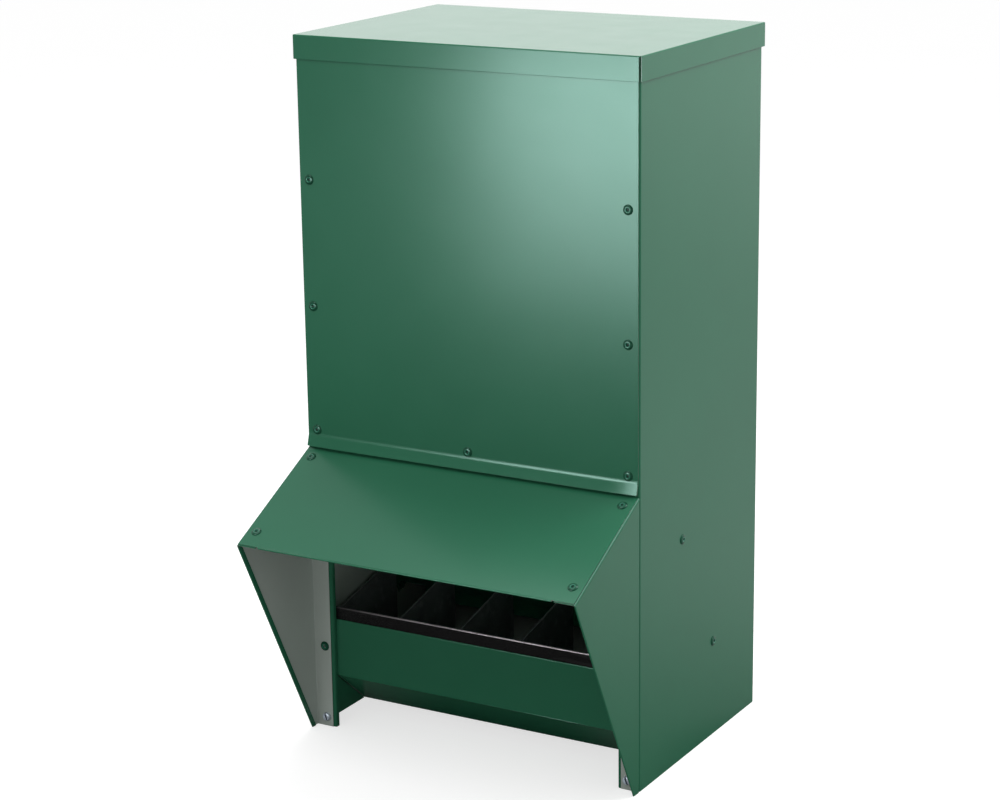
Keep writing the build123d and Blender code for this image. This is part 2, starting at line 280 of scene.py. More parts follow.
# Floor: what the gloss mirrors of it rises in two steps from the front to the back
FLOOR_HALF = 12
FLOOR_COLOUR = (0.52, 0.52, 0.52)
FLOOR_MOTTLE = (3, 3)
FLOOR_SPREAD = 0.01
FLOOR_LIFT = 0.69
FLOOR_IMAGE = 0.37
NEAR_RISE, NEAR_SPAN = 0.29, (-1, 0.6)
FAR_RISE, FAR_SPAN = 0.44, (1.2, 3.5)
# Painted shadow under the feeder and painted shade round a dark spot, in what the gloss mirrors
FOOT_SHIFT = (0, -0.45, 0)
FOOT_SCALE = (6.6, 9, 1)
FOOT_REACH = (0.6, 1.35)
DARK_SPOT = (-0.3, -0.6, 0)
DARK_REACH = (0.45, 1.3)

# Camera
CAMERA_PLACE = (0.98965, -1.72510, 0.82793)
CAMERA_YAW = math.radians(29.911)
CAMERA_PITCH = math.radians(15.2885)
CAMERA_ROLL = math.radians(0.7645)
LENS = 93.34
SENSOR = 36


def unit(vector):
    """The vector divided by its own length."""
    return vector / np.linalg.norm(vector)


def edges_of(node):
    """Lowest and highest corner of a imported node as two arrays."""
    low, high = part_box(node)
    return np.array(low), np.array(high)


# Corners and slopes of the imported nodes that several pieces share
case_front = edges_of("right_wing")[1][1] - SHEET
hood_low, hood_high = edges_of("rain_hood")
hood_slope = (HOOD_REAR_Z - HOOD_FRONT_Z) / (case_front - hood_low[1])
hood_stretch = math.hypot(1, hood_slope)
trough_low, trough_high = edges_of("trough")
floor_slope = (TROUGH_REAR_Z - TROUGH_LOW_Z) / (trough_high[1] - SHEET / 2 - TROUGH_LOW_Y)
liner_low, liner_high = edges_of("trough_liner")
divider_rear, divider_top = edges_of("divider_1")[1][1:]


def bent_line(corners, radius):
    """Middle line of a sheet bent at its corners: straight runs joined by arcs.

    On an arc, place = start + r (sin a along + (1 - cos a) sideways) for a from 0 to the turn.
    Returns the places and the unit headings along the line."""
    corners = np.array(corners, float)
    places = [corners[:1]]
    headings = [unit(corners[1] - corners[0])[None]]
    for before, corner, after in zip(corners, corners[1:], corners[2:]):
        along, onward = unit(corner - before), unit(after - corner)
        sideways = np.array([-along[1], along[0]])
        turn = math.atan2(onward @ sideways, onward @ along)
        sideways = sideways * math.copysign(1, turn)
        steps = 1 + math.ceil(abs(turn) / ARC_STEP - ROUND_OFF)
        angle = np.linspace(0, abs(turn), steps)[:, None]
        start = corner - radius * math.tan(abs(turn) / 2) * along
        places.append(start + radius * (np.sin(angle) * along + (1 - np.cos(angle)) * sideways))
        headings.append(np.cos(angle) * along + np.sin(angle) * sideways)
    places.append(corners[-1:])
    headings.append(unit(corners[-1] - corners[-2])[None])
    return np.concatenate(places), np.concatenate(headings)


def ring_faces(rings, count):
    """Quads between neighbouring rings of equal length, and one face over each end."""
    start = np.arange(rings - 1)[:, None] * count
    here = np.arange(count)[None]
    after = (here + 1) % count
    quads = np.stack([start + here, start + after, start + count + after, start + count + here], -1)
    faces = quads.reshape(-1, 4).tolist()
    faces.append(list(range(count))[::-1])
    faces.append(list(range((rings - 1) * count, rings * count)))
    return faces


def outward(points, faces):
    """Turn all the faces round if the volume that they enclose comes out negative."""
    volume = 0.0
    for face in faces:
        corner = points[face]
        volume += float((np.cross(corner[1:-1], corner[2:]) @ corner[0]).sum())
    return faces if volume > 0 else [face[::-1] for face in faces]


def skins(quads, size):
    """Faces of two skins of one grid, whose points lie `size` apart, and of the rim between them."""
    edges = np.concatenate([quads[:, [side, (side + 1) % 4]] for side in range(4)])
    alone = ~np.isin(edges[:, 0] * size + edges[:, 1], edges[:, 1] * size + edges[:, 0])
    rim = edges[alone][:, ::-1]
    rim = np.concatenate([rim, rim[:, ::-1] + size], 1)
    return np.concatenate([quads, quads[:, ::-1] + size, rim])


def grid_quads(kept):
    """Quads of the kept cells of a grid, numbered row by row."""
    row, column = np.nonzero(kept)
    count = kept.shape[1] + 1
    corner = row * count + column
    return np.stack([corner, corner + count, corner + count + 1, corner + 1], -1)


def rounded_end(rings, edge):
    """Rings as rows of place, heading, corner radius, low and high, with the last one moved in by e.

    Past it the rings go out along the heading by e sin a while their corner radius is e cos a."""
    last = rings[-1:].copy()
    heading = last[:, 2:4]
    last[:, :2] -= edge * heading
    past = np.repeat(last, len(END_ARC), 0)
    past[:, :2] += edge * np.sin(END_ARC)[:, None] * heading
    past[:, 4] = edge * np.cos(END_ARC)
    return np.concatenate([rings[:-1], last, past])


def folded(corners, limits, place, thickness=SHEET, radius=BEND, edge=EDGE, joined=(False, False)):
    """One sheet bent along parallel lines, as a closed shell with rounded raw edges.

    corners are the corners of its middle line in a plane. limits(places) gives how far the sheet
    runs square to that plane, low and high, at every place of the line, and it runs at least
    LEAST_EDGES edge radii. Every ring of the shell is a bar with four rounded corners: arcs of
    radius e about (low + e, high - e) by (-h + e, h - e), h being half the thickness. At an end
    that is joined to no other shell the radius falls as e cos a while the ring moves out by
    e sin a. place turns (points in the plane, distances square to it) into points in the frame.
    Returns points, faces and how far each point lies through the sheet, 0 outside and 1 inside."""
    places, headings = bent_line(corners, radius)
    low, high = limits(places)
    high = np.maximum(high, low + LEAST_EDGES * edge)
    rings = np.column_stack([places, headings, np.full(len(places), edge), low, high])
    back_to_front = np.array([1, 1, -1, -1, 1, 1, 1])
    if not joined[0]:
        rings = (rounded_end(rings[::-1] * back_to_front, edge) * back_to_front)[::-1]
    if not joined[1]:
        rings = rounded_end(rings, edge)
    places, headings = rings[:, :2], rings[:, 2:4]
    size, low, high = rings[:, 4:].T
    sideways = np.stack([-headings[:, 1], headings[:, 0]], -1)

    angle = np.concatenate([RIM_ARC + quarter * math.pi / 2 for quarter in range(4)])
    right_half = np.repeat([True, False, False, True], len(RIM_ARC))
    upper_half = np.repeat([1, 1, -1, -1], len(RIM_ARC))
    span = np.where(right_half, high[:, None] - edge, low[:, None] + edge)
    across = span + size[:, None] * np.cos(angle)
    through = upper_half * (thickness / 2 - edge) + size[:, None] * np.sin(angle)
    plane = places[:, None, :] + through[..., None] * sideways[:, None, :]
    points = place(plane.reshape(-1, 2), across.reshape(-1))
    faces = ring_faces(len(places), len(angle))
    return points, outward(points, faces), (0.5 - through / thickness).reshape(-1)


def across_case(plane, across):
    """The line is drawn in the Y-Z plane and the sheet runs along X."""
    return np.stack([across, plane[:, 0], plane[:, 1]], -1)


def upright(plane, across):
    """The line is drawn in the X-Y plane and the sheet runs up along Z."""
    return np.stack([plane[:, 0], plane[:, 1], across], -1)


def leaning(start, out, along):
    """The line is drawn square to a slope in the Y-Z plane, as (X, distance out), and runs along it.

    Point = (X, start + distance out + distance along)."""

    def place(plane, across):
        slope = start + plane[:, 1:] * out + across[:, None] * along
        return np.column_stack([plane[:, 0], slope])

    return place


def mirrored(shell):
    """The same shell on the left-hand side, its faces turned round to keep pointing outwards."""
    points, faces, inside = shell
    return points * (-1, 1, 1), [face[::-1] for face in faces], inside


def even(low, high):
    """Limits that stay the same along the whole line."""
    return lambda places: (np.full(len(places), float(low)), np.full(len(places), float(high)))


def between(lower, upper):
    """Limits that follow two lines of (second part of the place, limit) points."""

    def limits(places):
        sides = []
        for line in (lower, upper):
            stops, values = np.array(sorted(line)).T
            sides.append(np.interp(places[:, 1], stops, values))
        return sides

    return limits


def flat_plate(x, lower, upper, thickness):
    """A flat plate square to X whose lower and upper edges follow (Y, Z) points."""
    stops = sorted({point[0] for point in lower + upper})
    line = [(x, y) for y in stops]
    return folded(line, between(lower, upper), upright, thickness, edge=LINER_ROUND)


def piece(name, shells, material, nodes, body="case", rounded=0):
    """One mesh object of several closed shells, with the point attribute that the finishes read.

    That attribute, inside, runs from 0 on a sheet's outer side to 1 on its inner side. On a rivet
    it is 1 in the eye and one half on the ring round it, and on a screw it is 1 in the slot."""
    points, faces, inside, start = [], [], [], 0
    for shell_points, shell_faces, shell_inside in shells:
        points.append(shell_points)
        inside.append(shell_inside)
        faces += [[start + corner for corner in face] for face in shell_faces]
        start += len(shell_points)
    mesh = bpy.data.meshes.new(name)
    mesh.from_pydata(np.concatenate(points).tolist(), [], faces)
    mesh.attributes.new("inside", "FLOAT", "POINT").data.foreach_set("value", np.concatenate(inside))
    mesh.shade_smooth()
    mesh.materials.append(material)
    made = bpy.data.objects.new(name, mesh)
    bpy.context.scene.collection.objects.link(made)
    if rounded:
        bevel = made.modifiers.new("rounded_edges", "BEVEL")
        bevel.width = rounded
        bevel.segments = BEVEL_STEPS
        bevel.angle_limit = BEVEL_FROM
    made.modifiers.new("even_shading", "WEIGHTED_NORMAL").weight = EVEN_WEIGHT
    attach(made, body)
    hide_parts(*nodes)


def side_panel_shell():
    """Right side: rear flange, side, front flange and the short return beside the trough."""
    low, high = edges_of("right_side_panel")
    outer, front, back = high[0] - SHEET / 2, low[1] + SHEET / 2, high[1] - SHEET / 2
    inner = low[0] + SHEET / 2
    corners = [(low[0], back), (outer, back), (outer, front), (inner, front)]
    corners.append((inner, front + SIDE_RETURN))
    return folded(corners, even(low[2], high[2]), upright)


def front_panel_shell():
    """Front panel with a drip strip that leans forward, less so beside the end rivets.

    Down from the bend, a point of the middle line is (y - r (1 - cos t), z - r sin t) as t grows to
    the lean, then it goes on straight. The lean falls off as exp(-(distance from the end / w)^2).
    The two skins lie half a sheet to each side, along (-cos t, sin t)."""
    low, high = edges_of("front_panel")
    face = high[1] - SHEET / 2
    end = np.concatenate([RIM_ROWS, DRIP_COLUMNS])
    x = np.concatenate([low[0] + end, high[0] - end[::-1]])[:, None]
    lean = DRIP_LEAN * (1 - DRIP_END_LOSS * np.exp(-((high[0] - abs(x)) / DRIP_END) ** 2))
    turn = lean * np.linspace(0, 1, DRIP_STEPS)
    y = face - DRIP_ROUND * (1 - np.cos(turn))
    z = DRIP_TOP - DRIP_ROUND * np.sin(turn)
    rest = DRIP_ROWS * (z[:, -1:] - DRIP_LOW)
    y = np.concatenate([y[:, :1] + 0 * rest, y, y[:, -1:] - rest * np.tan(lean)], 1)
    z = np.concatenate([high[2] - RIM_ROWS + 0 * x, z, z[:, -1:] - rest], 1)
    turn = np.concatenate([0 * rest, turn, lean + 0 * rest], 1)
    skin = []
    for side in (1, -1):
        out = side * SHEET / 2
        grid = np.broadcast_arrays(x, y - out * np.cos(turn), z + out * np.sin(turn))
        skin.append(np.stack(grid, -1).reshape(-1, 3))
    size = z.size
    faces = skins(grid_quads(np.ones((len(x) - 1, z.shape[1] - 1), bool)), size).tolist()
    points = np.concatenate(skin)
    return points, outward(points, faces), np.repeat([0.0, 1.0], size)


def back_panel_shell():
    """Back panel, plain, with its green side to the rear."""
    low, high = edges_of("back_panel")
    face = (low[1] + high[1]) / 2
    return folded([(face, high[2]), (face, low[2])], even(low[0], high[0]), across_case)


between_flanges = even(-BETWEEN_FLANGES, BETWEEN_FLANGES)


def hood_line(y, below=0.0):
    """Height of the hood's upper face at y, or of a line that lies square below it."""
    return HOOD_REAR_Z + hood_slope * (y - case_front) - below * hood_stretch


def hood_shells():
    """Rain hood: sloping roof, the flange that goes up behind the front panel, and the front hem."""
    middle, under = SHEET / 2, SHEET / 2 + HEM_GAP
    tip = hood_low[1] + SHEET / 2
    nose = tip + HEM_GAP
    flange_y = hood_high[1] - SHEET / 2
    fold = (case_front, hood_line(case_front, middle))
    brow_highlight = (nose, hood_line(nose, middle))
    roof = folded([brow_highlight, fold], even(hood_low[0], hood_high[0]), across_case, joined=(True, True))
    root = folded(
        [fold, (flange_y, hood_line(flange_y, middle)), (flange_y, hood_high[2])],
        between_flanges,
        across_case,
        radius=BEND / 2,
        joined=(True, False),
    )
    hem_end, hem_bend = tip + HOOD_HEM, tip + HEM_GAP * hood_slope
    hem = folded(
        [
            (hem_end, hood_line(hem_end, under)),
            (hem_bend, hood_line(hem_bend, under)),
            (tip, hood_line(tip, middle)),
            brow_highlight,
        ],
        between_flanges,
        across_case,
        radius=HEM_BEND,
        joined=(False, True),
    )
    return [roof, root, hem]


def wing_shells():
    """Right wing: cheek with a hemmed front edge, rear flange and top flange under the hood."""
    low, high = edges_of("right_wing")
    outer, rear = high[0] - SHEET / 2, high[1] - SHEET / 2
    flange_depth = SHEET / 2 + SHEET + FLUSH
    tip = np.array([case_front - WING_TIP, low[2]])
    peak = np.array([low[1], hood_line(low[1], flange_depth + SHEET / 2)])
    up = unit(peak - tip)
    back = np.array([up[1], -up[0]])

    def front_frame(y, z):
        """Distances of a point in the Y-Z plane from the front edge and along it."""
        offset = np.array([y, z]) - tip
        return offset @ back, offset @ up

    rear_bend = rear - BEND
    top_bend = flange_depth + BEND
    foot = front_frame(rear_bend, low[2])
    head = front_frame(rear_bend, hood_line(rear_bend, top_bend))
    crest = (0, (hood_line(tip[0], top_bend) - tip[1]) / (up[1] - hood_slope * up[0]))
    nose = SHEET / 2

    inner = outer - HEM_GAP
    stops = [head[0], foot[0], nose]
    line = [(outer, stop) for stop in sorted(stops, reverse=True)] + [(inner, nose), (inner, WING_HEM)]
    limits = between([(nose, 0), foot, head], [crest, head])
    front_edge = leaning(tip, back, up)
    cheek = folded(line, limits, front_edge, radius=HEM_BEND, edge=FLUSH, joined=(True, False))

    rear_top = hood_line(rear, top_bend)
    flange = folded(
        [(WING_FLANGE, rear), (outer, rear), (outer, rear_bend)],
        even(low[2], rear_top),
        upright,
        joined=(False, True),
    )
    down_hood = unit(np.array([-1, -hood_slope]))
    square = np.array([-down_hood[1], down_hood[0]])
    root = np.array([rear, hood_line(rear, flange_depth)])
    run = (rear - low[1]) * hood_stretch
    top = folded(
        [(outer, BEND), (outer, 0), (low[0], 0)],
        even(0, run),
        leaning(root, square, down_hood),
        joined=(True, False),
    )
    return [cheek, flange, top]


def floor_line(y, start, height):
    """Height of a line that rises to the back like the trough's floor."""
    return height + floor_slope * (y - start)


def trough_shells():
    """Trough: hemmed front wall, the slope under it, the rising floor and the rear flange."""
    front, back = trough_low[1] + SHEET / 2, trough_high[1] - SHEET / 2
    hem, brim = front + HEM_GAP, trough_high[2] - SHEET / 2
    joint = back - LONG_RUN
    seam = (joint, floor_line(joint, TROUGH_LOW_Y, TROUGH_LOW_Z))
    full_width = even(trough_low[0], trough_high[0])
    pan = folded(
        [seam, (TROUGH_LOW_Y, TROUGH_LOW_Z), (front, TROUGH_FOLD_Z)],
        full_width,
        across_case,
        joined=(False, True),
    )
    wall = folded(
        [(front, TROUGH_FOLD_Z), (front, brim), (hem, brim), (hem, brim - TROUGH_HEM)],
        full_width,
        across_case,
        radius=HEM_BEND,
        joined=(True, False),
    )
    rear = [(back, TROUGH_REAR_FLANGE), (back, TROUGH_REAR_Z), seam]
    return [pan, wall, folded(rear, between_flanges, across_case)]


def bracket_shell():
    """Right bracket: a tab behind the side panel's flange and the wall under the trough's end."""
    low, high = edges_of("right_trough_bracket")
    tab, wall = low[1] + SHEET / 2, low[0] + SHEET / 2
    step = tab + SHORT_RUN
    under = trough_low[1] - SHEET
    fall = (TROUGH_FOLD_Z - TROUGH_LOW_Z) / (TROUGH_LOW_Y - trough_low[1])
    lower = [(tab, BRACKET_TAB_LOW), (step, BRACKET_TAB_LOW), (step + FLUSH, BRACKET_WALL_LOW)]
    upper = [(under, high[2]), (under + FLUSH, BRACKET_WALL_TOP)]
    upper.append((high[1], BRACKET_WALL_TOP - fall * (high[1] - under)))
    stops = sorted({place for place, _ in lower[1:] + upper})
    corners = [(high[0], tab), (wall, tab)] + [(wall, stop) for stop in stops]
    return folded(corners, between(lower, upper), upright)


def baffle_shells():
    """Feed baffle: the slope with a flange down each side, its top flange and its lip."""
    low, high = edges_of("feed_baffle")
    top = np.array([low[1] + SHEET / 2, BAFFLE_TOP_BEND])
    bottom = np.array([high[1] - SHEET / 2, BAFFLE_LOW_BEND])
    down = unit(bottom - top)
    towards_mouth = np.array([down[1], -down[0]])
    length = np.linalg.norm(bottom - top)
    outer = high[0] - SHEET / 2
    start, end = LONG_RUN, length - SHORT_RUN
    web, flange = BEND + FLUSH, BEND + 2 * FLUSH
    starts = [(0, start), (web, start)]
    starts += [(depth, BAFFLE_FLANGE_START) for depth in (flange, BAFFLE_FLANGE)]
    stops = [(0, end), (BAFFLE_FLANGE, end - BEND)]
    line = [(-outer, depth) for depth in (BAFFLE_FLANGE, flange, web, 0)]
    line += [(-x, depth) for x, depth in line[::-1]]
    slope = folded(line, between(starts, stops), leaning(top, towards_mouth, down))
    joint, foot = top + start * down, bottom - SHORT_RUN * down
    root = folded([joint, top, (top[0], high[2])], between_flanges, across_case)
    lip = folded([(bottom[0], low[2]), bottom, foot], between_flanges, across_case)
    return [slope, root, lip]


def rail_line(y):
    """Height of the dividers' top edges, which rise to the back."""
    return divider_top + RAIL_SLOPE * (y - divider_rear)


def liner_shells():
    """Black moulded liner: the lip and floor as one wall, and the two ends."""
    front = liner_low[1] + LINER_WALL / 2
    rear = liner_high[1] - SHEET
    wall = folded(
        [(rear, floor_line(rear, *LINER_LOW)), LINER_LOW, (front, LINER_FOLD_Z), (front, LIP_TOP)],
        even(liner_low[0], liner_high[0]),
        across_case,
        thickness=LINER_WALL,
        radius=LINER_BEND,
        edge=LIP_ROUND,
    )
    ends = flat_plate(
        liner_high[0] - LINER_END / 2,
        [(front, LINER_FOLD_Z), LINER_LOW, (divider_rear, floor_line(divider_rear, *LINER_LOW))],
        [(front, rail_line(front)), (divider_rear, rail_line(divider_rear))],
        LINER_END,
    )
    return [wall, ends, mirrored(ends)]


def divider_shell(node):
    """One upright plate across the trough, with a rounded top edge."""
    low, high = edges_of(node)
    rise = LINER_WALL / 2 * math.hypot(1, floor_slope)
    low_y, low_z = LINER_LOW
    return flat_plate(
        (low[0] + high[0]) / 2,
        [
            (low[1], LINER_FOLD_Z + rise),
            (low_y + rise / 2, low_z + 2 * rise),
            (high[1], floor_line(high[1], low_y, low_z) + rise),
        ],
        [(low[1], rail_line(low[1])), (high[1], high[2])],
        high[0] - low[0],
    )


def lid_line(half, depth, inset):
    """Places and depths below the top from skirt to skirt: each corner is an arc of radius b.

    place = c + b sin a and depth = b (1 - cos a), for a from 0 to 90 degrees, and the two middle
    places are where the skirts that lie square to these end, a slit inside the sheet. Both skins
    close in on the skirt's raw edge by e (1 - cos t) while they go down by e sin t."""
    angle = np.linspace(0, math.pi / 2, LID_STEPS)[::-1]
    bend = LID_BEND - inset
    turn = np.linspace(math.pi / 2, 0, LID_RIM_STEPS + 1)
    rim = half - inset + math.copysign(LID_EDGE, inset - SHEET / 2) * (1 - np.cos(turn))
    rim_depths = depth - LID_EDGE * (1 - np.sin(turn))
    places = np.concatenate([rim, half - LID_BEND + bend * np.sin(angle)])
    depths = np.concatenate([rim_depths, inset + bend * (1 - np.cos(angle)), [inset]])
    left, right = [half - SHEET - slit for slit in LID_SLITS]
    whole = np.concatenate([-places, [-left, right], places[::-1]])
    return whole, np.concatenate([depths, depths[::-1]])


def lid_shell():
    """Loose lid folded from one sheet, with an open slit at each corner.

    Outside point = (x(i), y(j), top - depth(i) - depth(j)), and the inside one lies a sheet in.
    The front and rear skirts stop short of the sides by a slit, and the corners are cut away."""
    low, high = edges_of("lid")
    middle, half, depth = (low + high) / 2, (high - low) / 2, high[2] - low[2]
    skin = []
    for inset in (0, SHEET):
        x, x_depth = lid_line(half[0], depth, inset)
        y, y_depth = lid_line(half[1], depth, inset)
        z = high[2] + inset - x_depth[:, None] - y_depth
        skin.append(np.stack(np.broadcast_arrays(middle[0] + x[:, None], middle[1] + y, z), -1))
    columns, rows = np.arange(len(x) - 1), np.arange(len(y) - 1)
    column, row = np.minimum(columns, columns[::-1]), np.minimum(rows, rows[::-1])
    straight = row <= LID_RIM_STEPS
    bent_x, bent_y = column < LID_STEPS + LID_RIM_STEPS, row < LID_STEPS + LID_RIM_STEPS
    beside_slit = column <= LID_STEPS + LID_RIM_STEPS
    kept = ~(bent_x[:, None] & bent_y) & ~(beside_slit[:, None] & straight)
    size = len(x) * len(y)
    faces = skins(grid_quads(kept), size)
    used, faces = np.unique(faces, return_inverse=True)
    points = np.concatenate(skin).reshape(-1, 3)[used]
    faces = faces.reshape(-1, 4).tolist()
    return points, outward(points, faces), np.repeat([0.0, 1.0], size)[used]


def turned(radius, height):
    """A closed turned shape, flat at its two ends: point = (r cos a, r sin a, h)."""
    angle = np.arange(TURN_STEPS) * math.tau / TURN_STEPS
    radius = np.broadcast_to(np.array(radius).T, (TURN_STEPS, len(height))).T
    height = np.repeat(np.array(height)[:, None], TURN_STEPS, 1)
    points = np.stack([radius * np.cos(angle), radius * np.sin(angle), height], -1).reshape(-1, 3)
    return points, outward(points, ring_faces(len(height), TURN_STEPS))


def rivet_shell(grip):
    """Blind rivet: an eye with the broken mandrel in it, a flat ring, the slope, body and bulb.

    The slope is r = ring + (head - ring) sin t ^ k, h = rim + (rise - rim) cos t ^ k."""
    wave = np.linspace(0, math.pi / 2, RIVET_STEPS)
    radius = RIVET_RING + (RIVET_HEAD - RIVET_RING) * np.sin(wave) ** RIVET_CURVE
    height = RIVET_RIM + (RIVET_RISE - RIVET_RIM) * np.cos(wave) ** RIVET_CURVE
    slope = np.stack([radius, height], -1)
    outline = np.concatenate([MANDREL, EYE_WALL, slope, HEAD_RIM, BULB - (0, grip)])
    points, faces = turned(*outline.T)
    marks = np.zeros(len(outline))
    ring = len(MANDREL) + 1
    marks[:ring] = EYE_MARK
    marks[ring : ring + len(EYE_WALL)] = RING_MARK
    return points, faces, np.repeat(marks, TURN_STEPS)


def screw_shells():
    """Slotted pan-head screw: the head, and its threaded body.

    The head is a grid over the disc, y = t sqrt(R^2 - x^2), as high as the pan's profile
    rise - b + sqrt(b^2 - (r - R + b)^2), or as the slot's floor where x is within the slot.
    The body's radius is R - d |2 f - 1|, f being the fraction of h / pitch - a / 360 degrees."""
    side = np.linspace(0, SCREW_SIDE, SCREW_SIDE_STEPS)
    lip = SCREW_SLOT / 2 + FLUSH
    outer = lip + (SCREW_HEAD - lip) * np.sin(side)
    in_slot = np.linspace(-1, 1, SCREW_SLOT_STEPS) * (SCREW_SLOT / 2 - FLUSH)
    x = np.concatenate([-outer[::-1], in_slot, outer])[:, None]
    t = np.sin(np.linspace(-1, 1, SCREW_ROWS) * math.pi / 2)
    y = t * np.sqrt(SCREW_HEAD**2 - x**2)
    past = np.maximum(np.hypot(x, y) - SCREW_HEAD + SCREW_ROUND, 0)
    pan = SCREW_RISE - SCREW_ROUND + np.sqrt(np.maximum(SCREW_ROUND**2 - past**2, 0))
    top = np.where(abs(x) < SCREW_SLOT / 2, SCREW_RISE - SCREW_SLOT_DEPTH, pan)
    skin = [np.stack(np.broadcast_arrays(x, y, z), -1).reshape(-1, 3) for z in (top, 0.0)]
    head = np.concatenate(skin)
    # The slot's points carry the painted shade of the zinc finish
    slot = (abs(x) < SCREW_SLOT / 2) * np.ones(top.shape)
    slot_shade = np.concatenate([slot.reshape(-1), np.zeros(top.size)])
    kept = np.ones((len(x) - 1, len(t) - 1), bool)
    faces = skins(grid_quads(kept), top.size).tolist()

    height = -np.arange(0, SCREW_LENGTH, THREAD_PITCH / THREAD_STEPS)
    height[-1] = -SCREW_LENGTH
    turn = np.arange(TURN_STEPS) / TURN_STEPS
    wave = abs(2 * ((height[:, None] / THREAD_PITCH - turn) % 1) - 1)
    cut = np.where(height > -THREAD_START, 0, THREAD_DEPTH)[:, None]
    body, body_faces = turned(SCREW_BODY - cut * wave, height)
    return [(head, outward(head, faces), slot_shade), (body, body_faces, np.zeros(len(body)))]


def nut_shell():
    """Hexagon nut as rings down its outside and up its bore.

    Outside, r = the least of half the flats / cos a and half the flats + the depth x tan 60."""
    here = np.arange(NUT_STEPS)
    angle = here * math.tau / NUT_STEPS
    corner = math.pi / 6
    hexagon = NUT_FLATS / 2 / np.cos((angle + corner) % (2 * corner) - corner)
    reach = NUT_FLATS / 2 + math.sqrt(3) * np.minimum(NUT_LEVELS, NUT_HEIGHT - NUT_LEVELS)
    bore = np.array([NUT_BORE + NUT_BEVEL, NUT_BORE, NUT_BORE, NUT_BORE + NUT_BEVEL])
    bore_levels = [NUT_HEIGHT, NUT_HEIGHT - NUT_BEVEL, NUT_BEVEL, 0]
    outside = np.minimum(hexagon, reach[:, None])
    radius = np.concatenate([outside, np.broadcast_to(bore[:, None], (len(bore), NUT_STEPS))])
    depth = NUT_START + np.concatenate([NUT_LEVELS, bore_levels])[:, None]
    x, y = radius * np.cos(angle), radius * np.sin(angle)
    points = np.stack(np.broadcast_arrays(x, y, -depth), -1).reshape(-1, 3)
    faces = ring_faces(len(radius), NUT_STEPS)[:-2]
    after, last = (here + 1) % NUT_STEPS, (len(radius) - 1) * NUT_STEPS
    faces += np.stack([last + here, last + after, after, here], -1).tolist()
    return points, outward(points, faces), np.zeros(len(points))


def set_in(shell, centres, direction, turn=0.0):
    """Copies of a fastener at the centres, its axis along the direction and its turn from upright.

    Point = centre + x across + y up + z along the axis."""
    points, faces, marks = shell
    axis = unit(np.array(direction, float))
    guide = np.array([0, 0, 1.0]) if abs(axis[2]) < STEEP else np.array([0, 1.0, 0])
    right = unit(np.cross(guide, axis))
    up = np.cross(axis, right)
    across = math.cos(turn) * right + math.sin(turn) * up
    basis = np.stack([across, np.cross(axis, across), axis])
    return [(points @ basis + np.array(centre), faces, marks) for centre in centres]


def both_sides(x, others):
    """Centres at x and -x for every (y, z) of the others."""
    return [(side * x, y, z) for side in (-1, 1) for y, z in others]


class Wire:
    """A node's output that stands in a sum like a number."""

    def __init__(self, paint, socket):
        self.paint = paint
        self.socket = socket

    def join(self, operation, first, second=0.0):
        return self.paint.node("ShaderNodeMath", {"operation": operation}, {0: first, 1: second})

    def __add__(self, other):
        return self.join("ADD", self, other)

    def __sub__(self, other):
        return self.join("SUBTRACT", self, other)

    def __rsub__(self, other):
        return self.join("SUBTRACT", other, self)

    def __mul__(self, other):
        return self.join("MULTIPLY", self, other)

    def __abs__(self):
        return self.join("ABSOLUTE", self)

    __radd__ = __add__
    __rmul__ = __mul__


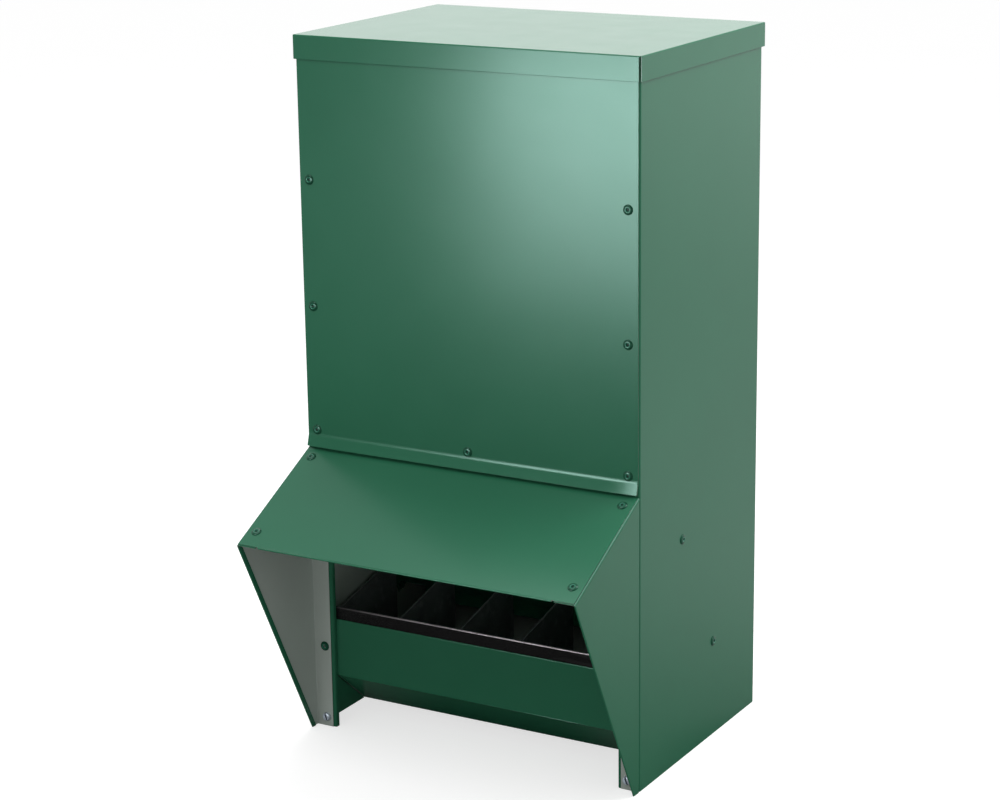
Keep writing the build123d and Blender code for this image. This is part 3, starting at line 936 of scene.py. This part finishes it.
class Paint:
    """Node tree of a finish or of the sky, with a short method for each pattern that they share."""

    def __init__(self, owner):
        self.owner = owner
        owner.use_nodes = True
        self.tree = owner.node_tree
        self.tree.nodes.clear()
        self.place = self.node("ShaderNodeTexCoord", {}, {}, "Object")
        self.inside = self.node("ShaderNodeAttribute", {"attribute_name": "inside"}, {}, "Fac")

    def node(self, kind, settings, values, output=0):
        """Add a node: its settings are set first, then each input gets a value or a link."""
        made = self.tree.nodes.new(kind)
        for name, value in settings.items():
            setattr(made, name, value)
        for key, value in values.items():
            if isinstance(value, Wire):
                self.tree.links.new(value.socket, made.inputs[key])
            else:
                made.inputs[key].default_value = value
        return Wire(self, made.outputs[output]) if made.outputs else None

    def grain(self, scale, detail, stretch=(1, 1, 1)):
        """Noise about one half, with `scale` grains to the metre, drawn out along an axis if wanted."""
        place = self.node("ShaderNodeMapping", {}, {"Vector": self.place, "Scale": stretch})
        return self.node("ShaderNodeTexNoise", {}, {"Vector": place, "Scale": scale, "Detail": detail})

    def part(self, vector, axis):
        """One of a vector's three parts, X, Y or Z."""
        return self.node("ShaderNodeSeparateXYZ", {}, {0: vector}, axis)

    def over(self, value, low, high):
        """Smooth step of a value, from 0 at low to 1 at high."""
        values = {"Value": value, "From Min": low, "From Max": high}
        return self.node("ShaderNodeMapRange", {"interpolation_type": "SMOOTHSTEP"}, values)

    def blend(self, factor, first, second):
        """Mix of two colours, each a link or (red, green, blue)."""
        colours = [c if isinstance(c, Wire) else (*c, 1) for c in (first, second)]
        settings = {"data_type": "RGBA"}
        return self.node("ShaderNodeMix", settings, {0: factor, 6: colours[0], 7: colours[1]}, 2)

    def tinted(self, colour, factor, amount):
        """A colour that runs from a little darker to a little lighter by the factor."""
        darker = tuple(part * (1 - amount) for part in colour)
        lighter = tuple(part * (1 + amount) for part in colour)
        return self.blend(factor, darker, lighter)

    def relief(self, height, distance, under=None):
        """Normal of a surface raised by height times distance, over another relief."""
        values = {"Height": height, "Distance": distance}
        if under:
            values["Normal"] = under
        return self.node("ShaderNodeBump", {}, values)

    def done(self, **sockets):
        """Join everything to one Principled shader and return the material."""
        values = {name.replace("_", " "): value for name, value in sockets.items()}
        shader = self.node("ShaderNodeBsdfPrincipled", {}, values)
        self.node("ShaderNodeOutputMaterial", {}, {"Surface": shader})
        return self.owner


def green_coat():
    """Baked green coat on the outside and grey backing coat inside, cut to dark steel on raw edges."""
    paint = Paint(bpy.data.materials.new("green_coat"))
    cloud = paint.grain(*COAT_CLOUDS)
    rim = 1 - abs(2 * paint.inside - 1)
    cut = paint.over(rim + NICK_DEPTH * paint.grain(*NICKS), *CUT_EDGE)
    chip = paint.over(rim * paint.grain(*CHIPS), *CHIPPED)
    side = paint.over(paint.inside, *SIDE_CHANGE)
    coat_colour = paint.blend(
        side,
        paint.tinted(GREEN, cloud, TONE_SPREAD),
        paint.tinted(BACKING, paint.grain(*BACKING_CLOUDS), TONE_SPREAD),
    )
    colour = paint.blend(chip, paint.blend(cut, coat_colour, RAW_EDGE), BARE_STEEL)
    rough = 0.18 + 0.04 * paint.grain(*HANDLING) + 0.03 * paint.grain(*SPECKS)
    waves = paint.relief(paint.grain(*WAVES), WAVE_HEIGHT)
    return paint.done(
        Base_Color=colour,
        Roughness=rough + 0.2 * side + 0.12 * cut,
        Metallic=0.8 * chip,
        Specular_IOR_Level=GLOSS_LEVEL,
        Specular_Tint=GLOSS_TINT,
        Normal=paint.relief(paint.grain(*PEEL), PEEL_HEIGHT, waves),
    )


def rivet_coat():
    """Dark green lacquer on the rivets, with a painted highlight on the ring round the eye, and a
    dark pin in the eye whose darkness is partly its paint and partly painted shade.
    """
    paint = Paint(bpy.data.materials.new("rivet_coat"))
    # Painted highlight: the flat ring round the eye is painted lighter
    ring = paint.over(paint.inside + RING_HIGHLIGHT_NOISE_DEPTH * paint.grain(*RING_HIGHLIGHT_NOISE), *RING_HIGHLIGHT_STEP)
    eye = paint.over(paint.inside, *EYE_STEP)
    green = paint.blend(paint.grain(*LACQUER_CLOUDS), *LACQUER_TONES)
    # The pin's near black is partly its paint and partly painted shade in the eye
    pin = paint.tinted(PIN_PAINT_AND_SHADE, paint.grain(*PIN_GRAIN), PIN_SPREAD)
    colour = paint.blend(eye, paint.blend(ring, green, RING_HIGHLIGHT_COLOUR), pin)
    return paint.done(
        Base_Color=colour,
        Roughness=0.17 + 0.1 * paint.grain(*LACQUER_HANDLING) + 0.1 * eye,
        Specular_IOR_Level=GLOSS_LEVEL,
        Specular_Tint=GLOSS_TINT,
        Normal=paint.relief(paint.grain(*LACQUER_PEEL), LACQUER_PEEL_HEIGHT),
    )


def black_plastic():
    """Black moulded plastic with a fine spark texture, crests worn lighter, and feed dust inside.

    The lip's front edge, its brow, carries a painted highlight: a lighter colour and a little
    metallic sheen, less and less towards the left. The crests' lighter colour is partly wear and
    partly painted highlight that fades towards the back. The pale colour behind the lip is partly
    feed dust and partly painted fill light on the shaded inside."""
    paint = Paint(bpy.data.materials.new("black_plastic"))
    texture = paint.grain(*SPARKS)
    scuffs = paint.over(paint.grain(*SCUFFS), *SCUFFED)
    depth = paint.part(paint.place, "Y")
    height = paint.part(paint.place, "Z")
    along = paint.part(paint.place, "X")
    behind_lip = paint.over(depth, *LIP_BACK)
    # Painted highlight on the lip's brow, less towards the left; crests partly worn, partly painted
    # highlight
    brow_highlight = paint.over(height, *BROW_RISE) * (1 - behind_lip)
    brow_highlight = brow_highlight * (BROW_LEFT + (1 - BROW_LEFT) * paint.over(along, *BROW_SPAN))
    crest = paint.over(1 - abs(2 * paint.inside - 1), *CREST_RIM) * behind_lip
    wear_and_painted_highlight = brow_highlight + crest * (CREST_FRONT - CREST_LOSS * paint.over(depth, *CREST_SPAN))
    wear_and_painted_highlight = wear_and_painted_highlight * (LEAST_BREAKUP + (1 - LEAST_BREAKUP) * paint.over(paint.grain(*BREAKUP), *BREAKUP_STEP))
    # Behind the lip a pale colour that is partly feed dust and partly painted fill light
    dust_and_fill = paint.over(depth, *DUST_AND_FILL_REACH) * (DUST_AND_FILL_LEAST + DUST_AND_FILL_SWING * paint.grain(*DUST_AND_FILL_CLOUDS))
    colour = paint.tinted(BLACK, paint.grain(*BLACK_CLOUDS), BLACK_SPREAD)
    colour = paint.blend(SCUFF_STRENGTH * scuffs, colour, SCUFF_COLOUR)
    colour = paint.blend(dust_and_fill, colour, DUST_AND_FILL_COLOUR)
    return paint.done(
        Base_Color=paint.blend(wear_and_painted_highlight, colour, WORN_AND_HIGHLIGHT_COLOUR),
        # The metallic sheen on the brow is painted highlight
        Metallic=0.3 * brow_highlight,
        Roughness=0.24 + 0.06 * texture + 0.1 * scuffs,
        Specular_IOR_Level=0.25,
        Normal=paint.relief(texture, SPARK_HEIGHT),
    )


def zinc():
    """Bright zinc plating with a bluish tone, slightly clouded, and painted shade in the screws' slots.
    """
    paint = Paint(bpy.data.materials.new("zinc"))
    cloud = paint.grain(*ZINC_CLOUDS)
    bright = paint.blend(cloud, *ZINC_TONES)
    return paint.done(
        # Painted shade: the slot is darkened
        Base_Color=paint.blend(SLOT_SHADE_STRENGTH * paint.inside, bright, SLOT_SHADE_COLOUR),
        Metallic=0.55,
        Roughness=0.42 + 0.16 * cloud,
        Normal=paint.relief(paint.grain(*ZINC_GRAIN), ZINC_GRAIN_HEIGHT),
    )


coat, lacquer, plastic, plating = green_coat(), rivet_coat(), black_plastic(), zinc()

handed = (
    ("side", "side_panel", [side_panel_shell()]),
    ("cheek", "wing", wing_shells()),
    ("bracket", "trough_bracket", [bracket_shell()]),
)
for hand in ("right", "left"):
    for part, node, shells in handed:
        own = shells if hand == "right" else [mirrored(shell) for shell in shells]
        piece(hand + "_" + part, own, coat, [hand + "_" + node])
piece("front_sheet", [front_panel_shell()], coat, ["front_panel"], rounded=EDGE)
piece("back_sheet", [back_panel_shell()], coat, ["back_panel"])
piece("hood_sheet", hood_shells(), coat, ["rain_hood"])
piece("baffle_sheet", baffle_shells(), coat, ["feed_baffle"])
piece("trough_sheet", trough_shells(), coat, ["trough"])
piece("lid_sheet", [lid_shell()], coat, ["lid"], body="lid", rounded=LID_EDGE)
piece("liner_moulding", liner_shells(), plastic, ["trough_liner"])
for number in range(1, DIVIDERS + 1):
    node = "divider_%d" % number
    piece("feed_" + node, [divider_shell(node)], plastic, [node])

rear = edges_of("back_panel")[1][1]
front_rows = [(case_front, FRONT_RIVET_Z + row * RIVET_PITCH) for row in FRONT_ROWS]
back_rows = [(rear, BACK_RIVET_Z + row * RIVET_PITCH) for row in BACK_ROWS]
front_centres = both_sides(FRONT_RIVET_X, front_rows)
front_centres.append((0, case_front, FRONT_RIVET_Z))
back_centres = both_sides(FRONT_RIVET_X, back_rows)
back_centres += [(step * TROUGH_RIVET_PITCH, rear, TROUGH_RIVET_Z) for step in (-1, 0, 1)]
hood_rows = [case_front - down / hood_stretch for down in HOOD_RIVETS_DOWN]
hood_centres = both_sides(HOOD_RIVET_X, [(y, hood_line(y)) for y in hood_rows])
wing_centres = both_sides(WING_RIVET_X, [(case_front, z) for z in WING_RIVETS_Z])
side_x = edges_of("right_side_panel")[1][0]
screw_centres = both_sides(SCREW_X, [(case_front, SCREW_Z)])
ahead, behind, up_hood = (0, -1, 0), (0, 1, 0), (0, -hood_slope, 1)
rivet = rivet_shell(2 * SHEET)
for where, centres, direction in (
    ("front", front_centres, ahead),
    ("back", back_centres, behind),
    ("hood", hood_centres, up_hood),
    ("wing", wing_centres, ahead),
):
    copies = set_in(rivet, centres, direction)
    piece(where + "_rivet_heads", copies, lacquer, [where + "_rivets"])
side_copies = []
for side in (-1, 1):
    side_copies += set_in(rivet, [(side * side_x, y, z) for y, z in SIDE_RIVETS], (side, 0, 0))
piece("side_rivet_heads", side_copies, lacquer, ["side_rivets"])
screws = []
for shell in screw_shells():
    screws += set_in(shell, screw_centres, ahead, SCREW_TURN)
piece("slotted_screws", screws, plating, ["leg_screws"])
piece("hexagon_nuts", set_in(nut_shell(), screw_centres, ahead), plating, ["leg_nuts"])


def lamp(name, place, target, size, radiance, lights=True, in_gloss=True, only=None):
    """Area lamp of a given radiance: a flat lamp of power P and area A has radiance P / (pi A).

    It lights the paint, or is seen in the gloss, or both, on all pieces or on one group."""
    light = bpy.data.lights.new(name, "AREA")
    light.shape = "RECTANGLE"
    light.size, light.size_y = size
    light.energy = radiance * math.pi * size[0] * size[1]
    made = bpy.data.objects.new(name, light)
    made.location = place
    aim = Vector(target) - Vector(place)
    made.rotation_euler = aim.to_track_quat("-Z", "Y").to_euler()
    made.visible_camera = False
    made.visible_diffuse = lights
    made.visible_glossy = in_gloss
    made.light_linking.receiver_collection = only
    bpy.context.scene.collection.objects.link(made)


lamp("overhead_softbox", (-0.05, 0.55, 2), (-0.05, 0, 0.3), size=(1.9, 1), radiance=2.5)
lamp("right_softbox", (0.75, 0.3, 1.2), (0.15, 0.05, 0.4), size=(0.6, 0.6), radiance=5.2)
lamp("front_softbox", (-0.2, -0.7, 1.5), (0, 0, 0.35), size=(0.8, 0.8), radiance=2.6)
lamp("fill_softbox", (-0.3, -1.2, 0.14), (0, 0, 0.12), size=(0.8, 0.24), radiance=2.1, in_gloss=False)
lamp("back_softbox", (-1.5, 2.8, 1.5), (0, 0, 0.57), size=(3.2, 3), radiance=0.5, lights=False)
facing_front = bpy.data.collections.new("facing_front")
for front_piece in FRONT_PIECES:
    facing_front.objects.link(bpy.data.objects[front_piece])
for level, radiance in enumerate(LOW_RADIANCES, 1):
    x, y = LOW_PLACE
    height = LOW_SIZE[1] * level
    name = "low_softbox_%d" % level
    lamp(name, (x, y, height), (x, 0, height), LOW_SIZE, radiance, lights=False, only=facing_front)


def rays_of(paint):
    """Wires that are one for rays from the camera, in the gloss and through glass."""
    kinds = ("Is Camera Ray", "Is Glossy Ray", "Is Transmission Ray")
    return [paint.node("ShaderNodeLightPath", {}, {}, kind) for kind in kinds]


def sky():
    """White world: full strength to the camera, and dimmer as light on the object.

    It falls off towards the dim room in front, both as light and in the gloss."""
    world = bpy.data.worlds.new("white_studio")
    bpy.context.scene.world = world
    paint = Paint(world)
    seen, gloss, through = rays_of(paint)
    direction = paint.node("ShaderNodeTexCoord", {}, {}, "Generated")
    ahead = paint.part(direction, "Y")
    image = ROOM_IMAGE + (SKY_IMAGE - ROOM_IMAGE) * paint.over(ahead, *SKY_IMAGE_SPAN)
    light = SKY_LIGHT * (1 - ROOM_SHADE + ROOM_SHADE * paint.over(ahead, *ROOM_SHADE_SPAN))
    strength = light + (1 - light) * seen + (image - light) * (gloss + through)
    background = paint.node("ShaderNodeBackground", {}, {"Color": (1, 1, 1, 1), "Strength": strength})
    paint.node("ShaderNodeOutputWorld", {}, {"Surface": background})


sky()


def floor_paint():
    """Pale floor, seen a little brighter by the camera, so that only the shadow is not white.

    What the gloss mirrors of it grows from the front to the back. It falls to dark under the
    feeder, a painted shadow, and round a spot in front of it, painted shade which stands for the
    dim room there."""
    paint = Paint(bpy.data.materials.new("pale_floor"))
    seen, gloss, through = rays_of(paint)
    pale = paint.tinted(FLOOR_COLOUR, paint.grain(*FLOOR_MOTTLE), FLOOR_SPREAD)
    base = paint.node("ShaderNodeBsdfDiffuse", {}, {"Color": pale})
    spread = {"Vector": paint.place, "Location": FOOT_SHIFT, "Scale": FOOT_SCALE}
    foot = paint.node("ShaderNodeMapping", {}, spread)
    from_foot = paint.node("ShaderNodeVectorMath", {"operation": "LENGTH"}, {0: foot}, "Value")
    # Painted shadow under the feeder in what the gloss mirrors of the floor
    clear_of_painted_shadow = paint.over(from_foot, *FOOT_REACH)
    lift = paint.node("ShaderNodeEmission", {}, {"Strength": FLOOR_LIFT * seen})
    lit = paint.node("ShaderNodeAddShader", {}, {0: base, 1: lift})
    ends = {0: paint.place, 1: DARK_SPOT}
    away = paint.node("ShaderNodeVectorMath", {"operation": "DISTANCE"}, ends, "Value")
    depth = paint.part(paint.place, "Y")
    image = FLOOR_IMAGE + NEAR_RISE * paint.over(depth, *NEAR_SPAN)
    image = image + FAR_RISE * paint.over(depth, *FAR_SPAN)
    image = image * clear_of_painted_shadow * paint.over(away, *DARK_REACH)
    mirror_image = paint.node("ShaderNodeEmission", {}, {"Strength": image})
    surface = paint.node("ShaderNodeMixShader", {}, {0: gloss + through, 1: lit, 2: mirror_image})
    paint.node("ShaderNodeOutputMaterial", {}, {"Surface": surface})
    return paint.owner


corners = [(x * FLOOR_HALF, y * FLOOR_HALF, 0) for x, y in ((-1, -1), (1, -1), (1, 1), (-1, 1))]
ground = bpy.data.meshes.new("studio_floor")
ground.from_pydata(corners, [], [(0, 1, 2, 3)])
ground.materials.append(floor_paint())
floor = bpy.data.objects.new("studio_floor", ground)
bpy.context.scene.collection.objects.link(floor)


def photo_camera():
    """Camera at the photograph's viewing angle: yaw to the left, pitch down and a slight roll."""
    level = math.cos(CAMERA_PITCH)
    x, y = -math.sin(CAMERA_YAW) * level, math.cos(CAMERA_YAW) * level
    ahead = Vector((x, y, -math.sin(CAMERA_PITCH)))
    right = Vector((math.cos(CAMERA_YAW), math.sin(CAMERA_YAW), 0))
    down = ahead.cross(right)
    turned_right = math.cos(CAMERA_ROLL) * right + math.sin(CAMERA_ROLL) * down
    turned_down = math.cos(CAMERA_ROLL) * down - math.sin(CAMERA_ROLL) * right
    data = bpy.data.cameras.new("photo_camera")
    data.lens = LENS
    data.sensor_width = SENSOR
    made = bpy.data.objects.new("photo_camera", data)
    turn = Matrix((turned_right, -turned_down, -ahead)).transposed()
    made.matrix_world = Matrix.Translation(CAMERA_PLACE) @ turn.to_4x4()
    bpy.context.scene.collection.objects.link(made)
    bpy.context.scene.camera = made


photo_camera()
bpy.context.scene.view_settings.view_transform = "Standard"
